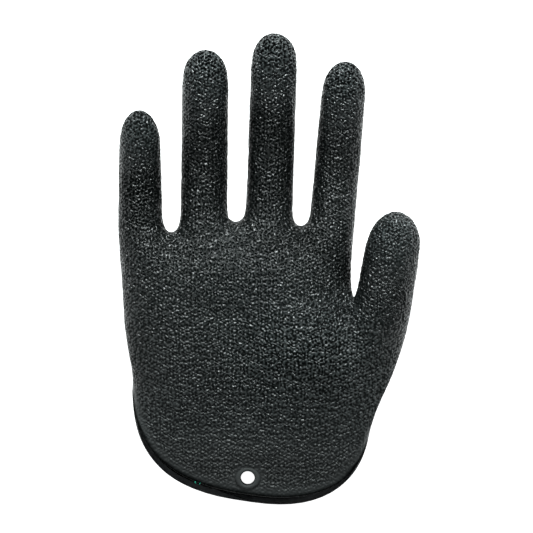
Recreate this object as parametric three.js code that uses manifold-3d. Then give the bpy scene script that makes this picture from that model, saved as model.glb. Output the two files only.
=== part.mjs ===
// A coated fishing glove for the right hand, lying on its back with the palm up.
// It is one seamless hollow wall of knit dipped in latex, with a soft binding inside
// the wrist opening and a moulded eyelet through each side just above the edge.
// +Y runs from the wrist to the fingertips, +X towards the thumb and +Z up from the surface.
import * as THREE from "three";
import { mergeVertices } from "three/addons/utils/BufferGeometryUtils.js";
import Module from "manifold-3d";

// Driving sizes, in millimetres
const palmLength = 140; // lowest point of the binding to the crotch beside the middle finger
const palmWidth = 118; // across the finger roots
const palmThickness = 26; // at the ball of the thumb, without its pad
const wallThickness = 2;
const littleLength = 59.5;
const ringLength = 87.5;
const middleLength = 94;
const indexLength = 82;
const thumbLength = 42.5;
const littleWidth = 22.6;
const ringWidth = 23.6;
const middleWidth = 23.5;
const indexWidth = 22.8;
const thumbWidth = 28.8;
const fingerThickness = 18.6;
const thumbThickness = 22;
const frontShortening = 4.6; // how much less far the palm side reaches at the wrist
const seatGap = 0.35; // between pieces that touch
const bindingHeight = 3.4;
const bindingThickness = 1.3;
const bindingReveal = 0.7; // how far the binding stands out of the coated edge
const bindingLap = 20; // how far the binding's ends lie over each other
const eyeletHoleRadius = 3.5;
const eyeletFlangeRadius = 6.3; // across the glove
const eyeletFlangeDepth = 5.2; // along the glove
const eyeletRise = 0.9;
const eyeletBarrelWall = 0.8;
const eyeletInset = 8.8; // from the palm side's edge to the middle of the eyelet

// Shares of the palm's length and width, from the lowest point and the palm's middle line
const thumbCrotchHeight = 0.729;
const rimLeftHeight = 0.414; // where the wrist opening's edge passes the little finger's side
const rimRightHeight = 0.289; // and the thumb's side
const eyeletOffset = 0.053;
// Superellipse exponents of the wrist edge and the palm's section, for each side
const leftFullness = 2.6;
const rightFullness = 2.3;
const backLeftFullness = 2.85; // of the wrist edge on the back
const fingerFullness = 2.2;
const fingertipTaper = 0.1; // share of its thickness that a finger loses towards its tip
const sidePinch = 0.09; // rounds the notch where the edge turns from the palm side to the back
const edgeSag = 1.5; // how late the rows of the palm take up the curve of the wrist edge
const edgeInset = 0.07; // how far the rows above the wrist edge draw in from the glove's sides
const insetStart = 0.6; // share of the way down where they begin to
const lapPlace = 0.785; // where the binding's covered end lies on the back, as a share of the way round

// Fingers: where each root is, how it leans in degrees, how long its round tip is as a share of
// its width, how far the tip curls up as a share of its thickness, and the gap beside it
const fingerTable = [
  { name: "little", length: littleLength, width: littleWidth, across: -0.4005, height: 0.979,
    lean: -0.4, tip: 0.7, narrowing: 0.1, curl: 0.5, crotch: 0.968 },
  { name: "ring", length: ringLength, width: ringWidth, across: -0.1325, height: 0.993,
    lean: 0.6, tip: 0.6, narrowing: 0.01, curl: 0.34, crotch: 1.005 },
  { name: "middle", length: middleLength, width: middleWidth, across: 0.142, height: 1.007,
    lean: 1.9, tip: 0.6, narrowing: 0.01, curl: 0.28, crotch: 0.991 },
  { name: "index", length: indexLength, width: indexWidth, across: 0.408, height: 0.993,
    lean: 5.1, tip: 0.68, narrowing: 0.02, curl: 0.36, crotch: null },
];
const thumbRow = { name: "thumb", length: thumbLength, width: thumbWidth, across: 0.63, height: 0.743,
  lean: 9.8, tip: 0.58, narrowing: 0.08, curl: 0.16 };

// The palm from the finger roots down to the thumb's crotch, as shares of width and thickness
const upperPalm = [
  { along: 0, left: -0.4935, right: 0.501, top: 0.8, side: 0.4, back: 0.01 },
  { along: 0.3, left: -0.488, right: 0.4935, top: 0.93, side: 0.41, back: -0.012 },
  { along: 0.6, left: -0.4825, right: 0.489, top: 0.99, side: 0.42, back: -0.015 },
  { along: 1, left: -0.4755, right: 0.492, top: 1, side: 0.42, back: -0.015 },
];
// The palm from the thumb's crotch down to the wrist edge
const lowerPalm = [
  { along: 0, left: -0.4755, right: 0.7525, top: 1, side: 0.45, back: -0.015 },
  { along: 0.25, left: -0.4685, right: 0.7265, top: 1.01, side: 0.43, back: -0.015 },
  { along: 0.5, left: -0.457, right: 0.688, top: 0.92, side: 0.4, back: -0.015 },
  { along: 0.65, left: -0.446, right: 0.656, top: 0.86, side: 0.39, back: -0.01 },
  { along: 0.8, left: -0.438, right: 0.622, top: 0.8, side: 0.38, back: 0.065 },
  { along: 1, left: -0.4355, right: 0.57, top: 0.8, side: 0.38, back: 0.065 },
];
// Pads and hollows of the palm: place and reach as shares of width and length, rise as a share of thickness
const padTable = [
  { name: "ball of the thumb", across: 0.36, height: 0.54, reachAcross: 0.22, reachAlong: 0.19, rise: 0.15 },
  { name: "heel of the hand", across: -0.25, height: 0.42, reachAcross: 0.16, reachAlong: 0.2, rise: 0.08 },
  { name: "hollow", across: -0.01, height: 0.63, reachAcross: 0.17, reachAlong: 0.16, rise: -0.12 },
  { name: "little and ring", across: -0.28, height: 0.89, reachAcross: 0.09, reachAlong: 0.06, rise: 0.06 },
  { name: "ring and middle", across: 0.0, height: 0.915, reachAcross: 0.09, reachAlong: 0.06, rise: 0.06 },
  { name: "middle and index", across: 0.28, height: 0.905, reachAcross: 0.09, reachAlong: 0.06, rise: 0.07 },
];

// Mesh density
const ringSteps = 16; // points round a finger
const shaftRows = 8;
const thumbShaftRows = 4;
const tipRows = 4;
const upperRows = 5;
const lowerRows = 11;
const eyeletSteps = 32;

const quarter = ringSteps / 4;
const eighth = ringSteps / 8;
const lerp = THREE.MathUtils.lerp;
const radians = THREE.MathUtils.degToRad;

function smooth(share) {
  const t = THREE.MathUtils.clamp(share, 0, 1);
  return t * t * (3 - 2 * t);
}

// A column of a table at any share of the way along, drawn as a smooth curve through its rows
function along(table, column, share) {
  const last = table.length - 1;
  let i = 0;
  while (i < last - 1 && share > table[i + 1].along) i += 1;
  const row = (k) => table[THREE.MathUtils.clamp(k, 0, last)];
  const [a, b] = [row(i), row(i + 1)];
  const slope = (k) => {
    const [p, q] = [row(k - 1), row(k + 1)];
    return (q[column] - p[column]) / (q.along - p.along);
  };
  const width = b.along - a.along;
  const t = (share - a.along) / width;
  if (t > 1) return b[column] + slope(i + 1) * width * (t - 1);
  const [m0, m1] = [slope(i) * width, slope(i + 1) * width];
  return (
    (2 * t ** 3 - 3 * t ** 2 + 1) * a[column] +
    (t ** 3 - 2 * t ** 2 + t) * m0 +
    (3 * t ** 2 - 2 * t ** 3) * b[column] +
    (t ** 3 - t ** 2) * m1
  );
}

// Height of a superellipse of half width 1 over the place v, from -1 to 1
function arch(v, left = leftFullness) {
  const fullness = v < 0 ? left : rightFullness;
  return Math.max(0, 1 - Math.abs(v) ** fullness) ** (1 / fullness);
}

function power(value, exponent) {
  return Math.sign(value) * Math.abs(value) ** exponent;
}

// A ring starts at the little finger's side, runs over the palm side and comes back underneath
function ringAngle(step) {
  return radians(180 - (360 * step) / ringSteps);
}

// A finger's own numbers in millimetres
function measured(row, thickness) {
  return {
    ...row,
    thickness,
    rootX: row.across * palmWidth,
    rootY: row.height * palmLength,
    halfWidth: row.width / 2,
    tipLength: row.tip * row.width,
  };
}

const fingers = fingerTable.map((row) => measured(row, fingerThickness));
const thumb = measured(thumbRow, thumbThickness);

// Height of a finger's back over the surface: it touches down near a third of its length
const touchDown = 0.35;
const rootLift = 1.1;
const pressIn = 0.35; // how far what rests on the surface would reach below it, flattened away
const thumbRise = 0.24; // of the thumb's back at its root, as a share of its thickness
function backHeight(finger, share) {
  if (finger === thumb) return (thumbRise + finger.curl * smooth(share)) * finger.thickness;
  if (share < touchDown) return lerp(rootLift, -pressIn, smooth(share / touchDown));
  return lerp(-pressIn, finger.curl * finger.thickness, ((share - touchDown) / (1 - touchDown)) ** 2);
}

// One ring of a finger, at a distance from its root and shrunk by a share towards its tip
function fingerRing(finger, distance, shrink) {
  const share = distance / finger.length;
  const lean = radians(finger.lean);
  const centreX = finger.rootX + Math.sin(lean) * distance;
  const centreY = finger.rootY + Math.cos(lean) * distance;
  const halfWidth = finger.halfWidth * (1 - finger.narrowing * share);
  const halfThickness = (finger.thickness / 2) * (1 - fingertipTaper * share);
  const centreZ = backHeight(finger, share) + halfThickness;
  return Array.from({ length: ringSteps }, (_, step) => {
    const angle = ringAngle(step);
    const across = halfWidth * shrink * power(Math.cos(angle), 2 / fingerFullness);
    const up = halfThickness * shrink * power(Math.sin(angle), 2 / fingerFullness);
    return new THREE.Vector3(
      centreX + Math.cos(lean) * across,
      centreY - Math.sin(lean) * across,
      Math.max(0, centreZ + up),
    );
  });
}

// The rings of a finger from the one above its crotch to the last before its tip, then the tip
function fingerRings(finger, firstDistance, rows) {
  const shaft = finger.length - finger.tipLength;
  const rings = [];
  for (let i = 0; i <= rows; i += 1) rings.push(fingerRing(finger, lerp(firstDistance, shaft, i / rows), 1));
  for (let i = 1; i < tipRows; i += 1) {
    const angle = ((Math.PI / 2) * i) / tipRows;
    rings.push(fingerRing(finger, shaft + finger.tipLength * Math.sin(angle), Math.cos(angle)));
  }
  const tip = fingerRing(finger, finger.length, 0)[0];
  return { rings, tip };
}

// The points and four-sided faces of the glove's outer skin
class Skin {
  points = [];
  faces = [];

  add(points) {
    return points.map((point) => this.points.push(point) - 1);
  }

  // Joins a ring to the ring above it, which is nearer the fingertips
  join(lower, upper) {
    lower.forEach((_, i) => {
      const next = (i + 1) % lower.length;
      this.faces.push([lower[i], lower[next], upper[next], upper[i]]);
    });
  }

  close(ring, tip) {
    ring.forEach((index, i) => this.faces.push([index, ring[(i + 1) % ring.length], tip]));
  }
}

// The five steps of a ring that face the neighbour on its right, and on its left, from the top down
const rightSide = [-eighth, -1, 0, 1, eighth].map((step) => 2 * quarter + step);
const leftSide = [eighth, 1, 0, -1, -eighth].map((step) => (step + ringSteps) % ringSteps);
// The web of skin in a crotch: how far it stands back and how high it is, from the top down
const webTable = [
  { back: 0.215, height: 0.76 },
  { back: 0.06, height: 0.42 },
  { back: 0, height: 0 },
  { back: 0.06, height: -0.45 },
  { back: 0.215, height: -0.82 },
];

function webPoints(x, y, z, thickness) {
  return webTable.map(
    (row) => new THREE.Vector3(x, y - row.back * thickness, Math.max(0, z + (row.height * thickness) / 2)),
  );
}

// The ring at a finger's root, drawn out sideways and down into the crotches beside it
const crotchFlare = 0.15; // share of the gap between two fingers
function rootRing(finger, leftCrotch, rightCrotch) {
  return fingerRing(finger, 0, 1).map((point, step) => {
    const side = Math.cos(ringAngle(step));
    const crotch = side < 0 ? leftCrotch : rightCrotch;
    if (!crotch) return point;
    const reach = side ** 2;
    point.x += Math.sign(side) * reach * crotchFlare * crotch.gap;
    point.y = lerp(point.y, crotch.y + crotchFlare * crotch.gap, reach);
    return point;
  });
}

const crotches = fingers.slice(0, -1).map((finger, i) => {
  const next = fingers[i + 1];
  const right = finger.rootX + finger.halfWidth;
  const left = next.rootX - next.halfWidth;
  return { x: (right + left) / 2, y: finger.crotch * palmLength, gap: left - right };
});

// The smooth body of the palm at a place v across it, on its palm side (1), edge (0) or back (-1)
function palmHeight(table, share, v, side, x, y) {
  const edge = along(table, "side", share) * palmThickness;
  if (side < 0) {
    const back = along(table, "back", share) * palmThickness;
    return Math.max(0, lerp(edge, back, arch(v)));
  }
  const pads = padTable.reduce((sum, pad) => {
    const dx = (x / palmWidth - pad.across) / pad.reachAcross;
    const dy = (y / palmLength - pad.height) / pad.reachAlong;
    return sum + pad.rise * Math.exp(-(dx * dx + dy * dy));
  }, 0);
  const top = (along(table, "top", share) + pads) * palmThickness;
  return lerp(edge, top, side * arch(v));
}

const knuckleY = 0.99 * palmLength;
const thumbCrotchY = thumbCrotchHeight * palmLength;
const thumbCrotchGap = 0.035 * palmLength; // the palm and the thumb part this far above the crotch
function upperBody(v, side, share) {
  const across = (v + 1) / 2;
  const x = lerp(along(upperPalm, "left", share), along(upperPalm, "right", share), across) * palmWidth;
  const y = lerp(knuckleY, thumbCrotchY + across * thumbCrotchGap, share);
  return new THREE.Vector3(x, y, palmHeight(upperPalm, share, v, side, x, y));
}

// How far the wrist edge hangs below the line between its two ends, as a share of its deepest point
function edgeDrop(v, side) {
  const full = Math.hypot(1, sidePinch) - sidePinch;
  const depth = arch(v, side < 0 ? backLeftFullness : leftFullness);
  return (Math.hypot(depth, sidePinch) - sidePinch) / full;
}

// Rows just above the wrist edge run beside it, and meet the glove's sides only at their ends
function insetPlace(v, share) {
  const part = THREE.MathUtils.clamp((share - insetStart) / (1 - insetStart), 0, 1);
  return v * (1 - edgeInset * 4 * part * (1 - part) * Math.sqrt(arch(v)));
}

const lowestPlace = 0.12; // where across the palm the wrist edge is lowest
const lowestChord = lerp(rimLeftHeight, rimRightHeight, (lowestPlace + 1) / 2) * palmLength;
function lowerBody(v, side, share) {
  const across = (v + 1) / 2;
  const place = insetPlace(v, share);
  const [sideLeft, sideRight] = [along(lowerPalm, "left", share), along(lowerPalm, "right", share)];
  const x = lerp(sideLeft, sideRight, (place + 1) / 2) * palmWidth;
  const left = lerp(thumbCrotchHeight, rimLeftHeight, share) * palmLength;
  const right = lerp(thumbRow.height, rimRightHeight, share) * palmLength;
  const lowest = side > 0 ? frontShortening : bindingReveal;
  const drop = (lowestChord - lowest) * edgeDrop(v, side) * share ** edgeSag;
  const y = lerp(left, right, across) - drop;
  return new THREE.Vector3(x, y, palmHeight(lowerPalm, share, place, side, x, y));
}

// A place across the palm, from -1 to 1, for each of the points spread round its two rounded halves
function evenPlace(i, count, rightIndex) {
  const half = i <= rightIndex ? i / rightIndex : (count - i) / (count - rightIndex);
  const cosine = Math.cos(Math.PI * half);
  return -power(cosine, 2 / (cosine > 0 ? leftFullness : rightFullness));
}

// Rows of points that start on a given ring and ease into a smooth body as they go down
// and, where they spread, into even steps round the wrist edge. The last row comes first
function easedRows(skin, ring, body, ends, rows, ease, spread) {
  const start = ring.map((index) => skin.points[index]);
  const seeds = start.map((point, i) => {
    const atEdge = i === 0 || i === ends.rightIndex;
    const v = THREE.MathUtils.clamp((2 * (point.x - ends.left)) / (ends.right - ends.left) - 1, -1, 1);
    return {
      v: atEdge ? Math.sign(i - 0.5) : v,
      even: evenPlace(i, ring.length, ends.rightIndex),
      side: atEdge ? 0 : Math.sign(ends.rightIndex - i),
    };
  });
  const made = [ring];
  for (let row = 1; row <= rows; row += 1) {
    const share = row / rows;
    const left = 1 - smooth(share / ease);
    const points = seeds.map(({ v, even, side }, i) => {
      const offset = start[i].clone().sub(body(v, side, 0)).multiplyScalar(left);
      const point = body(lerp(v, even, spread * smooth(share)), side, share).add(offset);
      point.z = Math.max(0, point.z);
      return point;
    });
    const below = skin.add(points);
    skin.join(below, made[0]);
    made.unshift(below);
  }
  return made;
}

function joinWeb(skin, leftRing, web, rightRing) {
  for (let m = 0; m < web.length - 1; m += 1) {
    skin.faces.push([leftRing[m], web[m], web[m + 1], leftRing[m + 1]]);
    skin.faces.push([web[m], rightRing[m], rightRing[m + 1], web[m + 1]]);
  }
}

// How far down the rows of the upper and lower palm lose the form of the ring that they start on
const upperEase = 0.75;
const lowerEase = 0.45;

const topSteps = Array.from({ length: quarter + 1 }, (_, i) => eighth + i);
const underSteps = topSteps.map((step) => step + 2 * quarter);
const rightSteps = [1, 2, 3].map((step) => 3 * eighth + step);
const leftUnderStep = ringSteps - 1;
const gapClearance = 5; // the first whole ring of a finger stands this far above its root

function pick(ring, steps) {
  return steps.map((step) => ring[step]);
}

// The whole outer skin, and its rows of points from the open ring of the wrist edge upwards
function buildSkin() {
  const skin = new Skin();

  const roots = fingers.map((finger, i) => {
    const root = skin.add(rootRing(finger, crotches[i - 1], crotches[i]));
    const { rings, tip } = fingerRings(finger, gapClearance, shaftRows);
    let above = root;
    for (const points of rings) {
      const ring = skin.add(points);
      skin.join(above, ring);
      above = ring;
    }
    skin.close(above, skin.add([tip])[0]);
    return root;
  });

  const webs = crotches.map((crotch, i) => {
    const middle = skin.points[roots[i][2 * quarter]].z;
    const web = skin.add(webPoints(crotch.x, crotch.y, middle, fingerThickness));
    joinWeb(skin, pick(roots[i], rightSide), web, pick(roots[i + 1], leftSide));
    return web;
  });

  const [first, last] = [roots[0], roots[roots.length - 1]];
  const overTop = roots.flatMap((root, i) => [...pick(root, topSteps), ...(webs[i] ? [webs[i][0]] : [])]);
  const underneath = roots
    .flatMap((root, i) => [...(webs[i - 1] ? [webs[i - 1][4]] : []), ...pick(root, underSteps).reverse()])
    .reverse();
  const leftUnder = first[leftUnderStep];
  const knuckleRing = [first[0], first[1], ...overTop, ...pick(last, rightSteps), ...underneath, leftUnder];
  const knuckleEnds = {
    left: skin.points[first[0]].x,
    right: skin.points[last[2 * quarter]].x,
    rightIndex: knuckleRing.indexOf(last[2 * quarter]),
  };
  const palmRing = easedRows(skin, knuckleRing, upperBody, knuckleEnds, upperRows, upperEase, 0)[0];

  const rightIndex = knuckleEnds.rightIndex;
  const thumbRings = fingerRings(thumb, gapClearance, thumbShaftRows);
  const thumbRoot = skin.add(fingerRing(thumb, 0, 1));
  let above = thumbRoot;
  for (const points of thumbRings.rings) {
    const ring = skin.add(points);
    skin.join(above, ring);
    above = ring;
  }
  skin.close(above, skin.add([thumbRings.tip])[0]);
  const palmSide = [-2, -1, 0, 1, 2].map((step) => palmRing[rightIndex + step]);
  const palmEdge = skin.points[palmRing[rightIndex]];
  const thumbEdge = skin.points[thumbRoot[0]];
  const web = skin.add(
    webPoints((palmEdge.x + thumbEdge.x) / 2, thumbCrotchY, (palmEdge.z + thumbEdge.z) / 2, fingerThickness),
  );
  joinWeb(skin, palmSide, web, pick(thumbRoot, leftSide));

  const wristRing = [
    ...palmRing.slice(0, rightIndex - 1),
    web[0],
    ...pick(thumbRoot, topSteps),
    ...pick(thumbRoot, rightSteps),
    ...pick(thumbRoot, underSteps),
    web[4],
    ...palmRing.slice(rightIndex + 2),
  ];
  const thumbOuter = thumbRoot[2 * quarter];
  const wristEnds = {
    left: skin.points[palmRing[0]].x,
    right: skin.points[thumbOuter].x,
    rightIndex: wristRing.indexOf(thumbOuter),
  };
  const edgeRows = easedRows(skin, wristRing, lowerBody, wristEnds, lowerRows, lowerEase, 1);
  return { points: skin.points, faces: skin.faces, edgeRows };
}

// Average of the normals of the faces round each point
function pointNormals(points, faces) {
  const normals = points.map(() => new THREE.Vector3());
  for (const face of faces) {
    const [a, b, c, d] = [face[0], face[1], face[2], face[face.length - 1]].map((i) => points[i]);
    const normal = c.clone().sub(a).cross(d.clone().sub(b)).normalize();
    if (face.length === 3) normal.copy(b.clone().sub(a).cross(c.clone().sub(a)).normalize());
    for (const index of face) normals[index].add(normal);
  }
  return normals.map((normal) => normal.normalize());
}

function geometryOf(points, faces) {
  const positions = new Float32Array(points.flatMap((point) => point.toArray()));
  const triangles = faces.flatMap((face) =>
    face.length === 3 ? face : [face[0], face[1], face[2], face[0], face[2], face[3]],
  );
  const geometry = new THREE.BufferGeometry();
  geometry.setAttribute("position", new THREE.BufferAttribute(positions, 3));
  geometry.setIndex(triangles);
  return geometry;
}

// The skin and its copy one wall inside it, joined along the wrist edge
function shellGeometry({ points, faces, edgeRows }, normals) {
  const rim = edgeRows[0];
  const inner = points.map((point, i) => point.clone().addScaledVector(normals[i], -wallThickness));
  const count = points.length;
  const innerFaces = faces.map((face) => face.map((index) => index + count).reverse());
  const rimFaces = rim.map((index, i) => {
    const next = rim[(i + 1) % rim.length];
    return [index, index + count, next + count, next];
  });
  return geometryOf([...points, ...inner], [...faces, ...innerFaces, ...rimFaces]);
}

const wasm = await Module();
wasm.setup();

function solidOf(geometry) {
  const bare = geometry.clone();
  bare.deleteAttribute("normal");
  bare.deleteAttribute("uv");
  const merged = mergeVertices(bare, 1e-4);
  return new wasm.Manifold(
    new wasm.Mesh({
      numProp: 3,
      vertProperties: merged.attributes.position.array,
      triVerts: new Uint32Array(merged.index.array),
    }),
  );
}

function geometryOfSolid(solid) {
  const mesh = solid.getMesh();
  const geometry = new THREE.BufferGeometry();
  geometry.setAttribute("position", new THREE.BufferAttribute(mesh.vertProperties, 3));
  geometry.setIndex(new THREE.BufferAttribute(mesh.triVerts, 1));
  return geometry;
}

// A place beside the wrist edge: so many points round it, so far up the wall and so far into the glove
function besideEdge({ points, edgeRows }, normals, round, up, inward) {
  const count = edgeRows[0].length;
  const column = (index) => {
    const i = ((index % count) + count) % count;
    let row = 0;
    let left = up;
    const length = () => points[edgeRows[row][i]].distanceTo(points[edgeRows[row + 1][i]]);
    while (left > length()) {
      left -= length();
      row += 1;
    }
    const part = left / length();
    const [low, high] = [edgeRows[row][i], edgeRows[row + 1][i]];
    const normal = normals[low].clone().lerp(normals[high], Math.max(0, part)).normalize();
    return points[low].clone().lerp(points[high], part).addScaledVector(normal, -inward);
  };
  const first = Math.floor(round);
  return column(first).lerp(column(first + 1), round - first);
}

// The binding's section: across its thickness and up its height, as shares, with soft corners
const bindingSection = [
  { across: 0.25, up: 0 }, { across: 0.75, up: 0 }, { across: 1, up: 0.12 }, { across: 1, up: 0.88 },
  { across: 0.75, up: 1 }, { across: 0.25, up: 1 }, { across: 0, up: 0.88 }, { across: 0, up: 0.12 },
];
const bindingPoint = 0.15; // share of its height that is left where its upper end runs out
const bindingRise = 0.6; // share of the lap over which it climbs on to its own start
// The binding starts on the back, goes round by the thumb's side and comes to lie on its own start
function bindingGeometry(outer, normals) {
  const count = outer.edgeRows[0].length;
  const start = lapPlace * count;
  const stations = [{ round: start, distance: 0 }];
  const edge = (round) => besideEdge(outer, normals, round, 0, wallThickness);
  const whole = { distance: Infinity };
  for (let round = Math.ceil(start) - 1; stations.at(-1).distance < whole.distance + bindingLap; round -= 1) {
    const before = stations.at(-1);
    if (before.round > start - count && round < start - count) {
      const distance = before.distance + edge(start - count).distanceTo(edge(before.round));
      whole.distance = distance;
      stations.push({ round: start - count, distance });
    }
    const last = stations.at(-1);
    const step = edge(round).distanceTo(edge(last.round));
    const left = whole.distance + bindingLap - last.distance;
    const part = Math.min(1, left / step);
    stations.push({ round: lerp(last.round, round, part), distance: last.distance + part * step });
  }
  const size = bindingSection.length;
  const points = stations.flatMap(({ round, distance }) => {
    const over = (distance - whole.distance) / bindingLap;
    const climb = smooth(1 + over / bindingRise);
    const height = bindingHeight * lerp(1, bindingPoint, THREE.MathUtils.clamp(over, 0, 1));
    const inward = wallThickness + seatGap + climb * (bindingThickness + seatGap);
    return bindingSection.map((row) =>
      besideEdge(
        outer, normals, round, row.up * height - bindingReveal, inward + row.across * bindingThickness,
      ),
    );
  });
  const faces = [];
  for (let i = 0; i < stations.length - 1; i += 1)
    for (let k = 0; k < size; k += 1) {
      const next = (k + 1) % size;
      faces.push([i * size + next, i * size + k, (i + 1) * size + k, (i + 1) * size + next]);
    }
  const end = points.length - size;
  for (let k = 1; k < size - 1; k += 1) {
    faces.push([0, k, k + 1]);
    faces.push([end, end + k + 1, end + k]);
  }
  return geometryOf(points, faces);
}

// An eyelet: a barrel through the wall, a soft oval flange outside and a thinner one inside
const eyeletSection = [
  { radius: 0, height: 0.35 }, { radius: 0.12, height: 0.85 }, { radius: 0.3, height: 1 },
  { radius: 0.62, height: 1 }, { radius: 0.86, height: 0.72 }, { radius: 1, height: 0.12 },
];
const innerFlangeRise = 0.6; // share of the outer flange's rise
const innerFlangeReach = 0.14; // share of the way out to the outer flange's edge
function eyeletGeometry() {
  const barrel = eyeletHoleRadius + eyeletBarrelWall;
  const flange = eyeletFlangeRadius;
  const width = flange - eyeletHoleRadius;
  const under = seatGap;
  const profile = eyeletSection.map(
    (row) => new THREE.Vector2(eyeletHoleRadius + row.radius * width, under + row.height * eyeletRise),
  );
  const inside = -wallThickness - seatGap;
  const innerFlange = lerp(barrel, flange, innerFlangeReach);
  profile.push(
    new THREE.Vector2(flange, under),
    new THREE.Vector2(barrel, under),
    new THREE.Vector2(barrel, inside),
    new THREE.Vector2(innerFlange, inside),
    new THREE.Vector2(innerFlange, inside - innerFlangeRise * eyeletRise),
    new THREE.Vector2(eyeletHoleRadius, inside - innerFlangeRise * eyeletRise),
  );
  profile.push(profile[0].clone());
  const geometry = new THREE.LatheGeometry(profile.reverse(), eyeletSteps);
  const position = geometry.attributes.position;
  // The lathe turns about Y: the axis becomes Z, and the flange is drawn in along the glove
  for (let i = 0; i < position.count; i += 1) {
    const [x, y, z] = [position.getX(i), position.getY(i), position.getZ(i)];
    const radius = Math.hypot(x, z);
    const outward = THREE.MathUtils.clamp((radius - barrel) / (flange - barrel), 0, 1);
    const depth = lerp(1, eyeletFlangeDepth / flange, outward);
    position.setXYZ(i, x, -z * depth, y);
  }
  return geometry;
}

const eyeletX = eyeletOffset * palmWidth;
const eyeletY = frontShortening + eyeletInset;

// The height of the wall's outer surface where an eyelet sits, found by halving the way down the palm
const halvings = 20;
function wallHeight(side) {
  let [above, below] = [0, 1];
  let point;
  for (let i = 0; i < halvings; i += 1) {
    const share = (above + below) / 2;
    const left = along(lowerPalm, "left", share) * palmWidth;
    const right = along(lowerPalm, "right", share) * palmWidth;
    point = lowerBody((2 * (eyeletX - left)) / (right - left) - 1, side, share);
    if (point.y > eyeletY) above = share;
    else below = share;
  }
  return point.z;
}

const holeRadius = eyeletHoleRadius + eyeletBarrelWall + seatGap;
const holeCutDepth = 3 * wallThickness + 2 * seatGap;
function eyeletHole(height) {
  const hole = new THREE.CylinderGeometry(holeRadius, holeRadius, holeCutDepth, eyeletSteps);
  hole.rotateX(Math.PI / 2);
  hole.translate(eyeletX, eyeletY, height);
  return solidOf(hole);
}

const coatedKnit = new THREE.MeshStandardMaterial({ color: 0x2b302f, roughness: 0.5, metalness: 0 });
const bindingTape = new THREE.MeshStandardMaterial({ color: 0x1b1c1e, roughness: 0.85, metalness: 0 });
const mouldedRubber = new THREE.MeshStandardMaterial({ color: 0x3c4142, roughness: 0.45, metalness: 0 });

function piece(name, geometry, material) {
  const mesh = new THREE.Mesh(geometry, material);
  mesh.name = name;
  return mesh;
}

const palmWall = wallHeight(1);
const backWall = wallHeight(-1);
const outer = buildSkin();
const normals = pointNormals(outer.points, outer.faces);
const shell = solidOf(shellGeometry(outer, normals))
  .subtract(eyeletHole(palmWall - wallThickness / 2))
  .subtract(eyeletHole(backWall + wallThickness / 2));

const glove = new THREE.Group();
glove.add(piece("coated_shell", geometryOfSolid(shell), coatedKnit));
glove.add(piece("wrist_binding", bindingGeometry(outer, normals), bindingTape));

const palmEyelet = piece("palm_eyelet", eyeletGeometry(), mouldedRubber);
palmEyelet.position.set(eyeletX, eyeletY, palmWall);
glove.add(palmEyelet);

const backEyelet = piece("back_eyelet", eyeletGeometry(), mouldedRubber);
backEyelet.position.set(eyeletX, eyeletY, backWall);
backEyelet.rotation.y = Math.PI;
glove.add(backEyelet);

// The origin is on the surface, below the middle of the glove's box
glove.updateMatrixWorld(true);
const box = new THREE.Box3().setFromObject(glove);
glove.position.set(-(box.min.x + box.max.x) / 2, -(box.min.y + box.max.y) / 2, -box.min.z);

export default glove;
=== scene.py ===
import math

import bpy
import numpy as np
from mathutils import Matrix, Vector, noise


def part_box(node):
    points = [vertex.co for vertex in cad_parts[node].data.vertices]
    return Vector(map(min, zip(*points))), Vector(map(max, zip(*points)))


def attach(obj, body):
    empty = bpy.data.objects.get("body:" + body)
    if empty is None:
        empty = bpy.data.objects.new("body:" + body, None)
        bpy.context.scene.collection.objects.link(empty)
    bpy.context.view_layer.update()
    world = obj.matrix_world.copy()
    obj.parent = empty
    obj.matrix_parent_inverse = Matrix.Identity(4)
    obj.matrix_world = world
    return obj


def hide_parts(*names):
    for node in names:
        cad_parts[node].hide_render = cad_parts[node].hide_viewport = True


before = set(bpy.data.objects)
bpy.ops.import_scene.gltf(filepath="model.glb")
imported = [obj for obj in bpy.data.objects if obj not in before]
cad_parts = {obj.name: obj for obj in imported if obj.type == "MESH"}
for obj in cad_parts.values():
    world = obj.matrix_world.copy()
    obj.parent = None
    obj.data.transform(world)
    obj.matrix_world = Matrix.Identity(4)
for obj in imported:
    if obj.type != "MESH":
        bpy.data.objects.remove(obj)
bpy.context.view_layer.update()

MM = 0.001

# Driving sizes, the same as the glove's own
palm_length = 140 * MM
palm_width = 118 * MM
palm_thickness = 26 * MM
wall = 2 * MM
finger_thickness = 18.6 * MM
thumb_thickness = 22 * MM
front_shortening = 4.6 * MM
seat_gap = 0.35 * MM
binding_height = 3.4 * MM
binding_thickness = 1.3 * MM
binding_reveal = 0.7 * MM
binding_lap = 20 * MM
hole_radius = 3.5 * MM
flange_radius = 6.3 * MM
flange_depth = 5.2 * MM
eyelet_rise = 0.9 * MM
barrel_wall = 0.8 * MM
eyelet_inset = 8.8 * MM

# Shares of the palm's length and width, and the fullness of its curves
thumb_crotch_height = 0.729
rim_left_height = 0.414
rim_right_height = 0.289
eyelet_offset = 0.053
left_fullness = 2.6
right_fullness = 2.3
back_left_fullness = 2.85
finger_fullness = 2.2
fingertip_taper = 0.1
side_pinch = 0.09
edge_sag = 1.5
edge_inset = 0.07
inset_start = 0.6
lap_place = 0.785
touch_down = 0.35
root_lift = 1.1 * MM
press_in = 0.35 * MM
thumb_rise = 0.24
crotch_flare = 0.15
gap_clearance = 5 * MM
lowest_place = 0.12

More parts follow.
